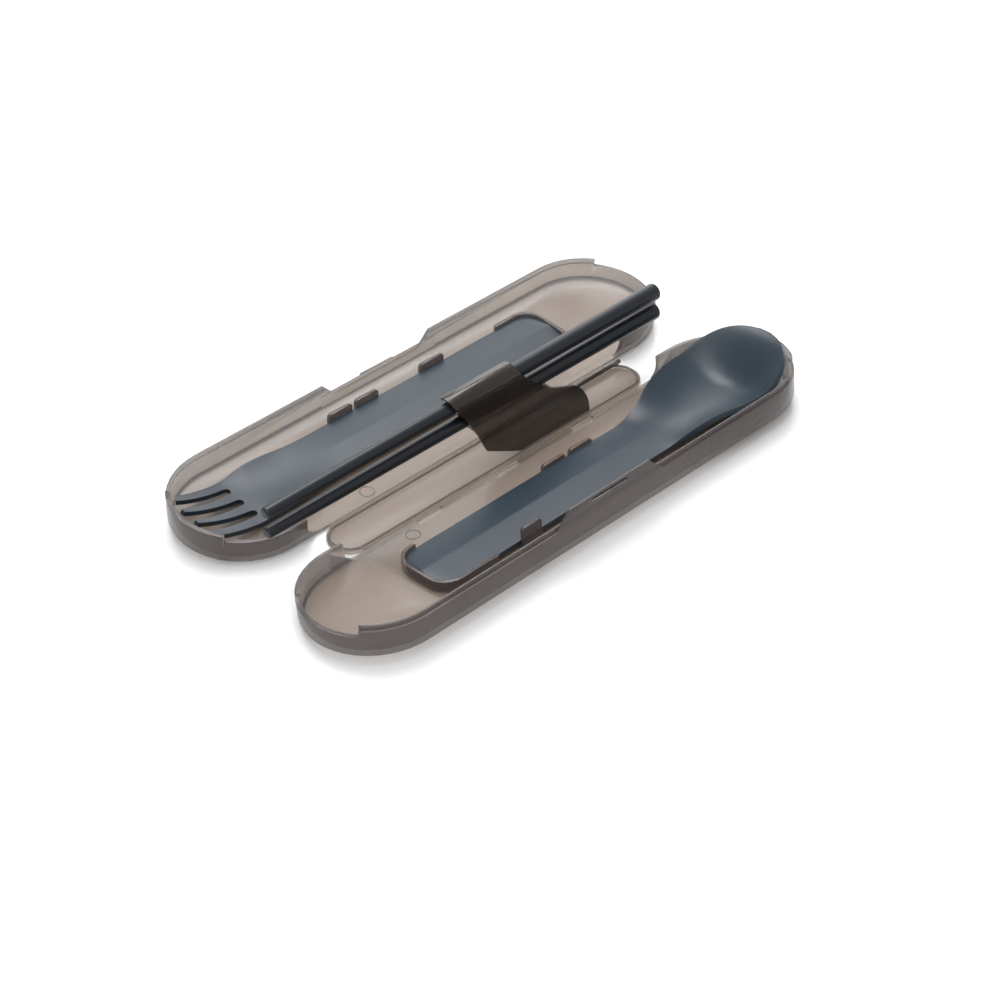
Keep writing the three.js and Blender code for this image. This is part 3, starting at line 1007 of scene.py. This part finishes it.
@dataclass(frozen=True)
class Studio:
    """Camera, table and lights."""

    position: tuple[float, float, float] = (-0.41078, -0.45909, 0.47300)
    right: tuple[float, float, float] = (0.7279, -0.6852, -0.0256)
    up: tuple[float, float, float] = (0.4420, 0.4404, 0.7816)
    forward: tuple[float, float, float] = (0.5242, 0.5802, -0.6234)
    lens: float = 86.04
    sensor: float = 36.0
    table_half: float = 6.0
    table_white: float = 0.95
    table_roughness: float = 0.14
    world_strength: float = 0.62
    lamps: tuple[Lamp, ...] = (
        Lamp("key", (0.35, 0.55, 1.25), 0.8, 12.0),
        Lamp("back", (0.75, 0.85, 0.42), 0.6, 2.5),
        Lamp("fill", (-0.9, -0.5, 0.9), 0.9, 3.0),
        Lamp("top", (0.0, 0.0, 1.2), 0.7, 4.0),
    )

    def build(self) -> None:
        """Builds the whole studio."""
        self._camera()
        self._table()
        for lamp in self.lamps:
            lamp.build()
        world = bpy.data.worlds.new("studio")
        world.use_nodes = True
        ground = world.node_tree.nodes["Background"].inputs
        ground["Color"].default_value = (1, 1, 1, 1)
        ground["Strength"].default_value = self.world_strength
        bpy.context.scene.world = world
        bpy.context.scene.view_settings.view_transform = "Standard"

    def _camera(self) -> None:
        """Places the camera."""
        data = bpy.data.cameras.new("camera")
        data.lens = self.lens
        data.sensor_width = self.sensor
        data.clip_start = 0.01
        camera = bpy.data.objects.new("camera", data)
        turn = Matrix((self.right, self.up, tuple(-c for c in self.forward))).transposed()
        camera.matrix_world = Matrix.Translation(self.position) @ turn.to_4x4()
        bpy.context.scene.collection.objects.link(camera)
        bpy.context.scene.camera = camera

    def _table(self) -> None:
        """Builds the glossy white table."""
        mesh = bpy.data.meshes.new("table")
        s = self.table_half
        mesh.from_pydata([(-s, -s, 0), (s, -s, 0), (s, s, 0), (-s, s, 0)], [], [(0, 1, 2, 3)])
        table = bpy.data.objects.new("table", mesh)
        bpy.context.scene.collection.objects.link(table)
        material = bpy.data.materials.new("white_table")
        material.use_nodes = True
        shader = material.node_tree.nodes["Principled BSDF"]
        shader.inputs["Base Color"].default_value = (*[self.table_white] * 3, 1)
        shader.inputs["Roughness"].default_value = self.table_roughness
        mesh.materials.append(material)


def main() -> None:
    """Builds every piece in order and reports it."""
    logging.basicConfig(level=logging.INFO, format="%(message)s")
    effect = mould_group()
    case, clip, slate, navy = (finish.build(effect) for finish in (CASE, CLIP, SLATE, NAVY))
    finishes = {Slot.CASE: case, Slot.CLIP: clip}
    Studio().build()
    front = Tray(Side.FRONT, mark_x=-45.5 * MM, mark_out=5.7 * MM)
    rear = Tray(Side.REAR, mark_x=-41.4 * MM, mark_out=4.5 * MM)
    spine = Spine()
    pieces = [front.build_shell(case), rear.build_shell(case)]
    pieces += [front.build_mark(case), rear.build_mark(case)]
    pieces += [Spoon(front, slate).build(), Fork(rear, slate).build()]
    pieces += [Chopstick(node).build(navy) for node in ("chopstick_upper", "chopstick_lower")]
    pieces += [spine.build_carried(node, width, finishes[slot]) for node, slot, width in spine.carried]
    pieces.append(spine.build_border(case))
    pieces += [spine.build_film(side, case) for side in Side]
    for piece in pieces:
        log.info("%s: %d faces", piece.name, len(piece.data.polygons))


if __name__ == "__main__":
    main()
